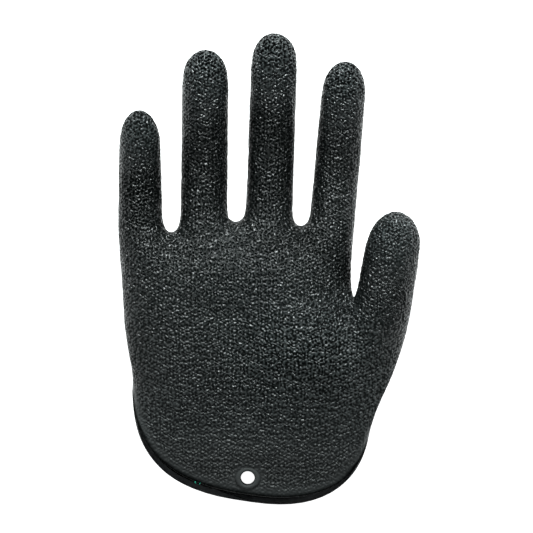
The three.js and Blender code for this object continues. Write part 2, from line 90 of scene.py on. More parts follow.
# Fingers: length, width, place and height of the root, lean in degrees, length of the tip as a share of the
# width, narrowing, curl of the tip as a share of the thickness, and the height of the gap beside it
FINGER_COLUMNS = ("length", "width", "across", "height", "lean", "tip", "narrowing", "curl", "crotch")
FINGER_ROWS = (
    (59.5 * MM, 22.6 * MM, -0.4005, 0.979, -0.4, 0.7, 0.1, 0.5, 0.968),
    (87.5 * MM, 23.6 * MM, -0.1325, 0.993, 0.6, 0.6, 0.01, 0.34, 1.005),
    (94 * MM, 23.5 * MM, 0.142, 1.007, 1.9, 0.6, 0.01, 0.28, 0.991),
    (82 * MM, 22.8 * MM, 0.408, 0.993, 5.1, 0.68, 0.02, 0.36, None),
)
THUMB_ROW = (42.5 * MM, 28.8 * MM, 0.63, 0.743, 9.8, 0.58, 0.08, 0.16, None)

# The palm down to the thumb's crotch, and from there to the wrist edge
PALM_COLUMNS = ("along", "left", "right", "top", "side", "back")
UPPER_PALM = (
    (0, -0.4935, 0.501, 0.8, 0.4, 0.01),
    (0.3, -0.488, 0.4935, 0.93, 0.41, -0.012),
    (0.6, -0.4825, 0.489, 0.99, 0.42, -0.015),
    (1, -0.4755, 0.492, 1, 0.42, -0.015),
)
LOWER_PALM = (
    (0, -0.4755, 0.7525, 1, 0.45, -0.015),
    (0.25, -0.4685, 0.7265, 1.01, 0.43, -0.015),
    (0.5, -0.457, 0.688, 0.92, 0.4, -0.015),
    (0.65, -0.446, 0.656, 0.86, 0.39, -0.01),
    (0.8, -0.438, 0.622, 0.8, 0.38, 0.065),
    (1, -0.4355, 0.57, 0.8, 0.38, 0.065),
)
# Pads and hollows: across, height, reach across, reach along, rise
PADS = (
    (0.36, 0.54, 0.22, 0.19, 0.15),
    (-0.25, 0.42, 0.16, 0.2, 0.08),
    (-0.01, 0.63, 0.17, 0.16, -0.12),
    (-0.28, 0.89, 0.09, 0.06, 0.06),
    (0.0, 0.915, 0.09, 0.06, 0.06),
    (0.28, 0.905, 0.09, 0.06, 0.07),
)
# A web's points, from the palm side down: how far back it stands and how high, as shares of the thickness
WEB = ((0.215, 0.76), (0.06, 0.42), (0, 0), (0.06, -0.45), (0.215, -0.82))

ring_steps = 16
shaft_rows = 5
thumb_shaft_rows = 3
tip_rows = 4
upper_rows = 3
lower_rows = 8
upper_ease = 0.75
lower_ease = 0.45
quarter = ring_steps // 4
eighth = ring_steps // 8


def lerp(a, b, t):
    return a + (b - a) * t


def clamp(value, low=0.0, high=1.0):
    return max(low, min(high, value))


def smooth(share):
    t = clamp(share)
    return t * t * (3 - 2 * t)


def palm_table(rows):
    """Rows of the palm with their columns named."""
    return [dict(zip(PALM_COLUMNS, row)) for row in rows]


upper_palm = palm_table(UPPER_PALM)
lower_palm = palm_table(LOWER_PALM)


def along(table, column, share):
    """A column of a table at any share of the way along, as a smooth curve through its rows."""
    last = len(table) - 1
    i = 0
    while i < last - 1 and share > table[i + 1]["along"]:
        i += 1

    def row(k):
        return table[int(clamp(k, 0, last))]

    def slope(k):
        p, q = row(k - 1), row(k + 1)
        return (q[column] - p[column]) / (q["along"] - p["along"])

    a, b = row(i), row(i + 1)
    width = b["along"] - a["along"]
    t = (share - a["along"]) / width
    m0, m1 = slope(i) * width, slope(i + 1) * width
    return (
        (2 * t**3 - 3 * t**2 + 1) * a[column]
        + (t**3 - 2 * t**2 + t) * m0
        + (3 * t**2 - 2 * t**3) * b[column]
        + (t**3 - t**2) * m1
    )


def arch(v, left=left_fullness):
    """Height of a superellipse of half width 1 over the place v, from -1 to 1."""
    fullness = left if v < 0 else right_fullness
    return max(0.0, 1 - abs(v) ** fullness) ** (1 / fullness)


def power(value, exponent):
    """A power that keeps the value's sign."""
    return math.copysign(abs(value) ** exponent, value)


def ring_angle(step):
    """A ring starts at the little finger's side, runs over the palm side and comes back underneath."""
    return math.radians(180 - 360 * step / ring_steps)


def measured(row, thickness):
    """A finger's row with its columns named, and the measures that follow from them."""
    finger = dict(zip(FINGER_COLUMNS, row))
    finger["thickness"] = thickness
    finger["x"] = finger["across"] * palm_width
    finger["y"] = finger["height"] * palm_length
    finger["half"] = finger["width"] / 2
    finger["tip_length"] = finger["tip"] * finger["width"]
    return finger


fingers = [measured(row, finger_thickness) for row in FINGER_ROWS]
thumb = measured(THUMB_ROW, thumb_thickness)


def back_height(finger, share):
    """Height of a finger's back over the surface: it touches down near a third of its length."""
    if finger is thumb:
        return (thumb_rise + finger["curl"] * smooth(share)) * finger["thickness"]
    if share < touch_down:
        return lerp(root_lift, -press_in, smooth(share / touch_down))
    late = ((share - touch_down) / (1 - touch_down)) ** 2
    return lerp(-press_in, finger["curl"] * finger["thickness"], late)


def finger_ring(finger, distance, shrink):
    """The ring of points round a finger at a distance from its root."""
    share = distance / finger["length"]
    lean = math.radians(finger["lean"])
    x = finger["x"] + math.sin(lean) * distance
    y = finger["y"] + math.cos(lean) * distance
    half_width = finger["half"] * (1 - finger["narrowing"] * share)
    half_thickness = finger["thickness"] / 2 * (1 - fingertip_taper * share)
    z = back_height(finger, share) + half_thickness
    ring = []
    for step in range(ring_steps):
        angle = ring_angle(step)
        across = half_width * shrink * power(math.cos(angle), 2 / finger_fullness)
        up = half_thickness * shrink * power(math.sin(angle), 2 / finger_fullness)
        ring.append(Vector((x + math.cos(lean) * across, y - math.sin(lean) * across, max(0.0, z + up))))
    return ring


def finger_rings(finger, first, rows):
    """The rings of a finger from the one above its crotch to the last before its tip, then the tip."""
    shaft = finger["length"] - finger["tip_length"]
    rings = [finger_ring(finger, lerp(first, shaft, i / rows), 1) for i in range(rows + 1)]
    for i in range(1, tip_rows):
        angle = math.pi / 2 * i / tip_rows
        rings.append(finger_ring(finger, shaft + finger["tip_length"] * math.sin(angle), math.cos(angle)))
    return rings, finger_ring(finger, finger["length"], 0)[0]


class Skin:
    """The points and four-sided faces of the glove's outer skin."""

    def __init__(self):
        self.points = []
        self.faces = []

    def add(self, points):
        first = len(self.points)
        self.points.extend(points)
        return list(range(first, len(self.points)))

    def join(self, lower, upper):
        """A band of faces between two rings."""
        for i in range(len(lower)):
            k = (i + 1) % len(lower)
            self.faces.append((lower[i], lower[k], upper[k], upper[i]))

    def close(self, ring, tip):
        """A cap of faces from a ring to its tip."""
        for i, index in enumerate(ring):
            self.faces.append((index, ring[(i + 1) % len(ring)], tip))


def crotch_between(finger, following):
    left = finger["x"] + finger["half"]
    right = following["x"] - following["half"]
    return {"x": (left + right) / 2, "y": finger["crotch"] * palm_length, "gap": right - left}


crotches = [crotch_between(*pair) for pair in zip(fingers, fingers[1:])]


def web_points(x, y, z, thickness):
    """The web of skin in a crotch, as a row of points from the palm side to the back."""
    return [Vector((x, y - back * thickness, max(0.0, z + height * thickness / 2))) for back, height in WEB]


def root_ring(finger, left_crotch, right_crotch):
    """The ring at a finger's root, drawn out sideways and down into the crotches beside it."""
    ring = finger_ring(finger, 0, 1)
    for step, point in enumerate(ring):
        side = math.cos(ring_angle(step))
        crotch = left_crotch if side < 0 else right_crotch
        if crotch:
            reach = side**2
            point.x += math.copysign(reach * crotch_flare * crotch["gap"], side)
            point.y = lerp(point.y, crotch["y"] + crotch_flare * crotch["gap"], reach)
    return ring


def palm_height(table, share, v, side, x, y):
    """The smooth body of the palm at a place v across it, on its palm side (1), edge (0) or back (-1)."""
    edge = along(table, "side", share) * palm_thickness
    if side < 0:
        back = along(table, "back", share) * palm_thickness
        return max(0.0, lerp(edge, back, arch(v)))
    pads = 0
    for across, height, reach_across, reach_along, rise in PADS:
        dx = (x / palm_width - across) / reach_across
        dy = (y / palm_length - height) / reach_along
        pads += rise * math.exp(-(dx * dx + dy * dy))
    top = (along(table, "top", share) + pads) * palm_thickness
    return lerp(edge, top, side * arch(v))


knuckle_y = 0.99 * palm_length
thumb_crotch_y = thumb_crotch_height * palm_length
thumb_crotch_gap = 0.035 * palm_length


def upper_body(v, side, share):
    """The palm from the knuckles down to the thumb's crotch."""
    across = (v + 1) / 2
    x = lerp(along(upper_palm, "left", share), along(upper_palm, "right", share), across) * palm_width
    y = lerp(knuckle_y, thumb_crotch_y + across * thumb_crotch_gap, share)
    return Vector((x, y, palm_height(upper_palm, share, v, side, x, y)))


def edge_drop(v, side):
    """How far the wrist edge hangs below the line between its two ends, as a share of its deepest point."""
    full = math.hypot(1, side_pinch) - side_pinch
    depth = arch(v, back_left_fullness if side < 0 else left_fullness)
    return (math.hypot(depth, side_pinch) - side_pinch) / full


def inset_place(v, share):
    """Draws places in from the sides towards the wrist edge, most of all half way down to it."""
    part = clamp((share - inset_start) / (1 - inset_start))
    return v * (1 - edge_inset * 4 * part * (1 - part) * math.sqrt(arch(v)))


lowest_chord = lerp(rim_left_height, rim_right_height, (lowest_place + 1) / 2) * palm_length


def lower_body(v, side, share):
    """The palm from the thumb's crotch down to the wrist edge."""
    across = (v + 1) / 2
    place = inset_place(v, share)
    sides = along(lower_palm, "left", share), along(lower_palm, "right", share)
    x = lerp(sides[0], sides[1], (place + 1) / 2) * palm_width
    left = lerp(thumb_crotch_height, rim_left_height, share) * palm_length
    right = lerp(thumb["height"], rim_right_height, share) * palm_length
    lowest = front_shortening if side > 0 else binding_reveal
    drop = (lowest_chord - lowest) * edge_drop(v, side) * share**edge_sag
    y = lerp(left, right, across) - drop
    return Vector((x, y, palm_height(lower_palm, share, place, side, x, y)))


def even_place(i, count, right_index):
    """The place across the palm of a ring's point, for points evenly spaced round the edge."""
    half = i / right_index if i <= right_index else (count - i) / (count - right_index)
    cosine = math.cos(math.pi * half)
    return -power(cosine, 2 / (left_fullness if cosine > 0 else right_fullness))


def eased_rows(skin, ring, body, ends, rows, ease, spread):
    """Rows that start on a given ring and ease into a smooth body as they go down. The last comes first."""
    left, right, right_index = ends
    start = [skin.points[i] for i in ring]
    seeds = []
    for i, point in enumerate(start):
        at_edge = i in (0, right_index)
        v = clamp(2 * (point.x - left) / (right - left) - 1, -1, 1)
        if at_edge:
            v = -1.0 if i == 0 else 1.0
        side = 0 if at_edge else math.copysign(1, right_index - i)
        seeds.append((v, even_place(i, len(ring), right_index), side))
    made = [ring]
    for row in range(1, rows + 1):
        share = row / rows
        kept = 1 - smooth(share / ease)
        points = []
        for origin, (v, even, side) in zip(start, seeds):
            offset = (origin - body(v, side, 0)) * kept
            point = body(lerp(v, even, spread * smooth(share)), side, share) + offset
            point.z = max(0.0, point.z)
            points.append(point)
        below = skin.add(points)
        skin.join(below, made[0])
        made.insert(0, below)
    return made


def join_web(skin, left_ring, web, right_ring):
    """Joins a web to the finger roots on both sides of it."""
    for m in range(len(web) - 1):
        skin.faces.append((left_ring[m], web[m], web[m + 1], left_ring[m + 1]))
        skin.faces.append((web[m], right_ring[m], right_ring[m + 1], web[m + 1]))


def pick(ring, steps):
    return [ring[step % ring_steps] for step in steps]


def add_finger(skin, finger, root_points, rows):
    """Adds a finger up to its tip, and gives its root ring."""
    rings, tip = finger_rings(finger, gap_clearance, rows)
    root = skin.add(root_points)
    above = root
    for points in rings:
        ring = skin.add(points)
        skin.join(above, ring)
        above = ring
    skin.close(above, skin.add([tip])[0])
    return root


def build_skin():
    """The outer skin, and its rows of points from the open ring of the wrist edge upwards."""
    skin = Skin()
    right_side = [2 * quarter + step for step in (-eighth, -1, 0, 1, eighth)]
    left_side = [eighth, 1, 0, -1, -eighth]
    top_steps = [eighth + i for i in range(quarter + 1)]
    under_steps = [step + 2 * quarter for step in top_steps]
    right_steps = [3 * eighth + step for step in (1, 2, 3)]
    gaps = [None, *crotches, None]
    roots = [
        add_finger(skin, finger, root_ring(finger, gaps[i], gaps[i + 1]), shaft_rows)
        for i, finger in enumerate(fingers)
    ]
    webs = []
    for i, crotch in enumerate(crotches):
        middle = skin.points[roots[i][2 * quarter]].z
        web = skin.add(web_points(crotch["x"], crotch["y"], middle, finger_thickness))
        join_web(skin, pick(roots[i], right_side), web, pick(roots[i + 1], left_side))
        webs.append(web)

    over_top, underneath = [], []
    for i, root in enumerate(roots):
        over_top += pick(root, top_steps) + ([webs[i][0]] if i < len(webs) else [])
        underneath += ([webs[i - 1][4]] if i else []) + pick(root, under_steps)[::-1]
    first, last = roots[0], roots[-1]
    knuckle_ring = [first[0], first[1], *over_top, *pick(last, right_steps), *underneath[::-1], first[-1]]
    outer = last[2 * quarter]
    right_index = knuckle_ring.index(outer)
    ends = (skin.points[first[0]].x, skin.points[outer].x, right_index)
    palm_ring = eased_rows(skin, knuckle_ring, upper_body, ends, upper_rows, upper_ease, 0)[0]

    thumb_root = add_finger(skin, thumb, finger_ring(thumb, 0, 1), thumb_shaft_rows)
    palm_side = [palm_ring[right_index + step] for step in (-2, -1, 0, 1, 2)]
    palm_edge, thumb_edge = skin.points[palm_ring[right_index]], skin.points[thumb_root[0]]
    middle = (palm_edge + thumb_edge) / 2
    web = skin.add(web_points(middle.x, thumb_crotch_y, middle.z, finger_thickness))
    join_web(skin, palm_side, web, pick(thumb_root, left_side))

    wrist_ring = [
        *palm_ring[: right_index - 1],
        web[0],
        *pick(thumb_root, top_steps),
        *pick(thumb_root, right_steps),
        *pick(thumb_root, under_steps),
        web[4],
        *palm_ring[right_index + 2 :],
    ]
    outer = thumb_root[2 * quarter]
    ends = (skin.points[palm_ring[0]].x, skin.points[outer].x, wrist_ring.index(outer))
    return skin, eased_rows(skin, wrist_ring, lower_body, ends, lower_rows, lower_ease, 1)


skin, edge_rows = build_skin()
# The glove's own frame has its origin on the surface, below the middle of its box
low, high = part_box("coated_shell")
xs = [point.x for point in skin.points]
ys = [point.y for point in skin.points]
shift = Vector(((low.x + high.x - min(xs) - max(xs)) / 2, high.y - max(ys), 0))
for point in skin.points:
    point += shift


def point_normals(points, faces):
    """The outward direction at each point, averaged over the faces that meet there."""
    normals = [Vector() for _ in points]
    for face in faces:
        a, b, c, d = (points[i] for i in (face[0], face[1], face[2], face[-1]))
        across = (c - a).cross(d - b) if len(face) == 4 else (b - a).cross(c - a)
        for index in face:
            normals[index] += across.normalized()
    return [normal.normalized() for normal in normals]


normals = point_normals(skin.points, skin.faces)
edge_count = len(edge_rows[0])


def new_object(name, points, faces, material):
    """A piece of the glove from its points and faces."""
    mesh = bpy.data.meshes.new(name)
    mesh.from_pydata([tuple(point) for point in points], [], faces)
    mesh.update()
    piece = bpy.data.objects.new(name, mesh)
    bpy.context.scene.collection.objects.link(piece)
    mesh.materials.append(material)
    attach(piece, "root")
    return piece


def shade_smooth(mesh):
    mesh.polygons.foreach_set("use_smooth", np.ones(len(mesh.polygons), bool))


def subdivide(piece, levels):
    """Smooths a piece's coarse net by Catmull-Clark subdivision and keeps the result as its mesh."""
    modifier = piece.modifiers.new("smooth", "SUBSURF")
    modifier.levels = modifier.render_levels = levels
    bpy.context.view_layer.update()
    evaluated = piece.evaluated_get(bpy.context.evaluated_depsgraph_get())
    fine = bpy.data.meshes.new_from_object(evaluated)
    fine.name = piece.name
    piece.modifiers.clear()
    piece.data = fine
    shade_smooth(fine)


def each_point(mesh, name):
    """The place ("co") or the outward direction ("normal") of each point, a row for each."""
    found = np.empty(len(mesh.vertices) * 3)
    mesh.vertices.foreach_get(name, found)
    return found.reshape(-1, 3)


def smooth_mesh(piece, points, faces):
    """A new smooth mesh with a piece's materials."""
    fresh = bpy.data.meshes.new(piece.name)
    fresh.from_pydata(points, [], faces)
    fresh.update()
    shade_smooth(fresh)
    for material in piece.data.materials:
        fresh.materials.append(material)
    return fresh


def attribute(mesh, name, values):
    """Keeps a value at each point of the mesh, for its finish."""
    layer = mesh.attributes.new(name, "FLOAT", "POINT")
    layer.data.foreach_set("value", np.asarray(values, np.float32))


class Value:
    """A number that varies over a surface, wrapped so that Python's operators add Math nodes."""

    def __init__(self, finish, socket):
        self.finish = finish
        self.socket = socket

    def maths(self, operation, *others):
        inputs = dict(enumerate((self, *others)))
        return self.finish.node("ShaderNodeMath", {"operation": operation}, inputs)

    def reflected(self, operation, other):
        return self.finish.node("ShaderNodeMath", {"operation": operation}, {0: other, 1: self})

    def __add__(self, other):
        return self.maths("ADD", other)

    __radd__ = __add__

    def __sub__(self, other):
        return self.maths("SUBTRACT", other)

    def __rsub__(self, other):
        return self.reflected("SUBTRACT", other)

    def __mul__(self, other):
        return self.maths("MULTIPLY", other)

    __rmul__ = __mul__

    def __pow__(self, other):
        return self.maths("POWER", other)

    def absolute(self):
        return self.maths("ABSOLUTE")

    def sine(self):
        return self.maths("SINE")

    def ramp(self, start, end):
        """0 where the value is start, 1 where it is end, eased between."""
        settings = {"interpolation_type": "SMOOTHSTEP"}
        return self.finish.node("ShaderNodeMapRange", settings, {"Value": self, 1: start, 2: end})


class Finish:
    """A material and the nodes that make its surface."""

    def __init__(self, name):
        self.material = bpy.data.materials.new(name)
        self.material.use_nodes = True
        self.tree = self.material.node_tree
        self.tree.nodes.clear()

    def node(self, kind, settings=None, inputs=None, output=0):
        """Adds a node with its settings and inputs, and gives one of its outputs."""
        made = self.tree.nodes.new(kind)
        for key, value in (settings or {}).items():
            setattr(made, key, value)
        for key, value in (inputs or {}).items():
            if isinstance(value, Value):
                self.tree.links.new(value.socket, made.inputs[key])
            else:
                made.inputs[key].default_value = value
        return Value(self, made.outputs[output])

    def place(self):
        """The place on the piece, in metres."""
        return self.node("ShaderNodeTexCoord", output="Object")

    def vector(self, operation, first, second, output=0):
        return self.node("ShaderNodeVectorMath", {"operation": operation}, {0: first, 1: second}, output)

    def noise(self, where, scale, detail=2.0, roughness=0.5, output=0):
        """Smooth noise of a scale in patches to a metre."""
        inputs = {"Vector": where, "Scale": scale, "Detail": detail, "Roughness": roughness}
        return self.node("ShaderNodeTexNoise", None, inputs, output)

    def ripples(self, where, spacing, scale, sway):
        """Short winding ridges: six trains of waves, evenly spread in direction and bent by noise."""
        total = 0
        golden = (1 + math.sqrt(5)) / 2
        radians_per_metre = 2 * math.pi / spacing / math.hypot(1, golden)
        second_noise = 0.31  # how far away the second three waves take their noise
        for turn in range(2):
            aside = self.vector("ADD", where, (second_noise * turn,) * 3)
            bends = self.noise(aside, scale, detail=0.0, output="Color")
            for axis in range(3):
                bend = self.node("ShaderNodeSeparateColor", None, {0: bends}, axis)
                way = np.roll((0, 1 - 2 * turn, golden), axis) * radians_per_metre
                along_way = self.vector("DOT_PRODUCT", where, tuple(way), 1)
                total = (along_way + bend * sway).sine() + total
        return total

    def map(self, name):
        """A value that the mesh keeps at each of its points."""
        return self.node("ShaderNodeAttribute", {"attribute_name": name}, output="Fac")

    def mix(self, factor, first, second):
        """A colour between two others."""
        inputs = {0: factor, 6: first, 7: second}
        return self.node("ShaderNodeMix", {"data_type": "RGBA"}, inputs, 2)

    def principled(self, **inputs):
        """A surface with the inputs that are named, a low line standing for a space."""
        names = {key.replace("_", " "): value for key, value in inputs.items()}
        return self.node("ShaderNodeBsdfPrincipled", None, names)

    def surface(self, shader):
        made = self.tree.nodes.new("ShaderNodeOutputMaterial")
        self.tree.links.new(shader.socket, made.inputs["Surface"])

    def blend(self, factor, first, second):
        """A surface between two others."""
        return self.node("ShaderNodeMixShader", None, {0: factor, 1: first, 2: second})

    def bump(self, height, distance, under=None):
        inputs = {"Height": height, "Distance": distance}
        if under is not None:
            inputs["Normal"] = under
        return self.node("ShaderNodeBump", None, inputs)


def opaque(red, green, blue):
    return (red, green, blue, 1.0)


def latex_finish():
    """Charcoal latex that dried in fine glossy ridges, smooth near the edge and the eyelets, with painted
    shade in the hollows and under the rolled edge, and painted light and shade over its patches and
    fingertips.
    """
    ridge_height = 0.6 * MM
    grain_height = 0.015 * MM
    finish = Finish("crinkled_latex")
    where = finish.place()
    crinkle = finish.map("crinkle")
    # Painted light and shade, kept at each point of the coat
    painted_light = finish.map("painted_light")
    # The six waves add up to a height that is mostly between 0 and 1
    height = finish.ripples(where, spacing=1.65 * MM, scale=300.0, sway=9.0) * 0.14 + 0.5
    relief = finish.bump(height * crinkle**0.5, ridge_height)
    grain = finish.noise(where, 2600.0, roughness=0.6)
    relief = finish.bump(grain, grain_height, relief)
    patches = finish.noise(where, 55.0, detail=3.0, roughness=0.6)
    dark, light = opaque(0.003, 0.0036, 0.0035), opaque(0.030, 0.037, 0.037)
    # The ridges' colour is set by the painted light and shade, with random patches
    colour = finish.mix(painted_light * (0.2 + patches * 0.45), dark, light)
    roughness = 0.21 + patches * 0.08 + finish.map("dull") * 0.24
    ridges = finish.principled(Base_Color=colour, Roughness=roughness, Normal=relief, IOR=1.5)
    # A dull black surface that stands in for shade
    black = opaque(0.0016, 0.002, 0.0019)
    hollows = finish.principled(Base_Color=black, Roughness=1.0, Specular_IOR_Level=0.0, Normal=relief)
    # Painted shade: dull black is blended into the hollows of the ridges, as a painted shadow under the
    # rolled edge, and where the painted light is low
    between = crinkle * (1 - height.ramp(0.25, 0.8)) * 0.85
    painted_edge_shadow = finish.map("under") * 0.9
    painted_dim_shade = (1 - painted_light.ramp(0.0, 0.55)) * 0.32
    finish.surface(finish.blend(between + painted_edge_shadow + painted_dim_shade, ridges, hollows))
    return finish.material


def liner_finish():
    """The bare knit inside, in fine rows of stitches."""
    wale_rate = 3900  # radians to a metre across, where a wave holds two columns of stitches
    course_rate = 5200  # radians to a metre up, where a wave holds one row of stitches
    stitch_height = 0.35 * MM
    finish = Finish("bare_knit")
    where = finish.place()
    across = finish.node("ShaderNodeSeparateXYZ", None, {0: where}, "X")
    up = finish.node("ShaderNodeSeparateXYZ", None, {0: where}, "Y")
    wales = (across * wale_rate).sine().absolute()
    courses = (up * course_rate + wales * 2.2).sine()
    height = wales * 0.6 + courses * 0.25
    relief = finish.bump(height, stitch_height)
    fuzz = finish.noise(where, 900.0, detail=3.0, roughness=0.7)
    dark, light = opaque(0.006, 0.007, 0.007), opaque(0.020, 0.022, 0.022)
    # The grooves between the stitches are painted darker and their tops lighter, as painted shade and
    # light, with random fuzz
    colour = finish.mix(height.ramp(0.0, 0.8) * 0.6 + fuzz * 0.3, dark, light)
    finish.surface(finish.principled(Base_Color=colour, Roughness=0.9, Normal=relief))
    return finish.material


def binding_finish():
    """Smooth dark tape with a faint rib along it, with painted shade in black along its two edges where it
    turns.
    """
    ribs = 7
    relief_height = 0.16 * MM
    finish = Finish("binding_tape")
    where = finish.place()
    across = finish.map("across")
    rib = (across * (2 * math.pi * ribs)).sine()
    crumple = finish.noise(where, 420.0)
    relief = finish.bump(rib * 0.3 + crumple, relief_height)
    dark, light = opaque(0.014, 0.0148, 0.0155), opaque(0.027, 0.0285, 0.0305)
    colour = finish.mix(crumple.ramp(0.3, 0.7), dark, light)
    cloth = finish.principled(Base_Color=colour, Roughness=0.7 + crumple * 0.15, Normal=relief)
    # Painted shade: a dull black surface blended in along the tape's two turned edges
    edge_shade = finish.principled(Base_Color=opaque(0.001, 0.001, 0.001), Roughness=1.0, Specular_IOR_Level=0.0)
    shaded_edges = across.ramp(0.82, 0.97) + (1 - across.ramp(0.0, 0.14))
    finish.surface(finish.blend(shaded_edges * 0.95, cloth, edge_shade))
    return finish.material


def rubber_finish():
    """Smooth moulded rubber with a soft skin."""
    finish = Finish("moulded_rubber")
    where = finish.place()
    relief = finish.bump(finish.noise(where, 1400.0), 0.04 * MM)
    wear = finish.noise(where, 300.0, detail=3.0, roughness=0.6)
    dark, light = opaque(0.008, 0.010, 0.010), opaque(0.013, 0.0155, 0.0155)
    colour = finish.mix(wear.ramp(0.3, 0.7), dark, light)
    finish.surface(finish.principled(Base_Color=colour, Roughness=0.62 + wear * 0.12, Normal=relief))
    return finish.material


def yarn_finish():
    """Green yarn of the knit, whose cut ends show at the edge."""
    finish = Finish("green_yarn")
    strands = finish.noise(finish.place(), 3000.0, roughness=0.6)
    relief = finish.bump(strands, 0.08 * MM)
    colour = finish.mix(strands.ramp(0.3, 0.7), opaque(0.0, 0.16, 0.10), opaque(0.01, 0.36, 0.23))
    finish.surface(finish.principled(Base_Color=colour, Roughness=0.8, Normal=relief))
    return finish.material


latex = latex_finish()
knit = liner_finish()
tape = binding_finish()
rubber = rubber_finish()
yarn = yarn_finish()

# The middle of the two eyelets
eyelet_x = eyelet_offset * palm_width + shift.x
eyelet_y = front_shortening + eyelet_inset + shift.y


def edge_distance(co):
    """Distance of each point from the wrist edge's own line."""
    ring = np.array([skin.points[i] for i in edge_rows[0]])
    steps = 8
    batch = 4096
    shares = np.arange(steps)[None, :, None] / steps
    nearby = ring[:, None, :] * (1 - shares) + np.roll(ring, -1, 0)[:, None, :] * shares
    nearby = nearby.reshape(-1, 3)
    found = np.empty(len(co))
    for start in range(0, len(co), batch):
        part = co[start : start + batch]
        apart = part[:, None, :] - nearby[None, :, :]
        found[start : start + batch] = np.sqrt((apart**2).sum(2).min(1))
    return found


def step_up(values, start, end):
    """0 below start and 1 above end, eased between, for many values at once."""
    t = np.clip((values - start) / (end - start), 0, 1)
    return t * t * (3 - 2 * t)


def cut_eyelet_holes(piece, radius):
    """Opens a skin for the two eyelets, and rounds the edge of each hole."""
    mesh = piece.data
    co = each_point(mesh, "co")
    apart = np.hypot(co[:, 0] - eyelet_x, co[:, 1] - eyelet_y)
    faces = [tuple(face.vertices) for face in mesh.polygons]
    kept = [face for face in faces if apart[list(face)].mean() > radius]
    edges = {}
    for face in kept:
        for pair in zip(face, face[1:] + face[:1]):
            edge = min(pair), max(pair)
            edges[edge] = edges.get(edge, 0) + 1
    rim = {i for edge, uses in edges.items() if uses == 1 for i in edge if apart[i] < 1.5 * radius}
    for i in rim:
        co[i, 0] = eyelet_x + (co[i, 0] - eyelet_x) * radius / apart[i]
        co[i, 1] = eyelet_y + (co[i, 1] - eyelet_y) * radius / apart[i]
    used = sorted({i for face in kept for i in face})
    number = {old: new for new, old in enumerate(used)}
    faces = [[number[i] for i in face] for face in kept]
    piece.data = smooth_mesh(piece, [tuple(co[i]) for i in used], faces)


# The coat's edge, rolled over the wall: how far down and how far in each of its rings lies
EDGE_ROLL = (
    (0.3 * MM, 0.1 * MM), (0.55 * MM, 0.42 * MM), (0.66 * MM, 0.95 * MM), (0.55 * MM, 1.5 * MM),
    (0.25 * MM, 1.88 * MM), (-0.4 * MM, 2.0 * MM), (-3 * MM, 2.0 * MM), (-8 * MM, 2.0 * MM),
)
evening_rounds = 6


def edge_loop(mesh):
    """The points round a skin's open edge, in order."""
    uses = {}
    for face in mesh.polygons:
        for key in face.edge_keys:
            uses[key] = uses.get(key, 0) + 1
    beside = {}
    for (a, b), count in uses.items():
        if count == 1:
            beside.setdefault(a, []).append(b)
            beside.setdefault(b, []).append(a)
    first = min(beside)
    loop = [first, beside[first][0]]
    while loop[-1] != first:
        one, two = beside[loop[-1]]
        loop.append(two if one == loop[-2] else one)
    return loop[:-1]


def roll_edge(piece):
    """Rolls the coat over the wrist edge and a little way in."""
    mesh = piece.data
    co, out = each_point(mesh, "co"), each_point(mesh, "normal")
    loop = edge_loop(mesh)
    on_loop = set(loop)
    away = {}
    for edge in mesh.edges:
        a, b = edge.vertices
        if (a in on_loop) != (b in on_loop):
            end, start = (a, b) if a in on_loop else (b, a)
            away[end] = (co[end] - co[start]) / np.linalg.norm(co[end] - co[start])
    places = co[loop]
    ways = np.array([away[i] for i in loop])
    for _ in range(evening_rounds):
        ways = (np.roll(ways, 1, 0) + 2 * ways + np.roll(ways, -1, 0)) / 4
    inwards = out[loop] - ways * (out[loop] * ways).sum(1)[:, None]
    inwards = -inwards / np.linalg.norm(inwards, axis=1)[:, None]
    points = [tuple(point) for point in co]
    faces = [tuple(face.vertices) for face in mesh.polygons]
    corner = next(face for face in faces if loop[0] in face and loop[1] in face)
    onwards = corner[(corner.index(loop[0]) + 1) % len(corner)] == loop[1]
    above = loop
    for down, depth in EDGE_ROLL:
        below = list(range(len(points), len(points) + len(loop)))
        points += [tuple(point) for point in places + ways * down + inwards * depth]
        for i in range(len(loop)):
            k = (i + 1) % len(loop)
            face = (above[k], above[i], below[i], below[k])
            faces.append(face if onwards else face[::-1])
        above = below
    piece.data = smooth_mesh(piece, points, faces)


# Patches of painted light and shade, where the coat is painted lighter or darker as light falls on it:
# across, height, reach across, reach along, change
PAINTED_LIGHT_PATCHES = (
    (18 * MM, -36 * MM, 36 * MM, 24 * MM, 1.0),
    (50 * MM, -50 * MM, 26 * MM, 30 * MM, 0.5),
    (0 * MM, -74 * MM, 80 * MM, 18 * MM, 0.25),
    (0 * MM, 12 * MM, 70 * MM, 10 * MM, -0.25),
    (0 * MM, -98 * MM, 90 * MM, 12 * MM, -0.35),
    (39 * MM, -6 * MM, 10 * MM, 15 * MM, -0.5),
    (64 * MM, -10 * MM, 14 * MM, 36 * MM, -0.5),
    (-65 * MM, 40 * MM, 14 * MM, 26 * MM, -0.3),
    (-16 * MM, 12 * MM, 12 * MM, 8 * MM, 0.3),
    (-12 * MM, 60 * MM, 70 * MM, 34 * MM, -0.65),
)
# Patches where it is more or less crinkled, in the same order
ROUGH_PATCHES = (
    (20 * MM, -42 * MM, 50 * MM, 30 * MM, 0.25),
    (-12 * MM, 58 * MM, 70 * MM, 26 * MM, -0.2),
    (65 * MM, -10 * MM, 14 * MM, 34 * MM, -0.25),
    (0 * MM, -98 * MM, 90 * MM, 18 * MM, -0.25),
)
tip_reach = 17 * MM
tip_inset = 0.6  # how far in from its end a tip's middle lies, as a share of half the finger's width


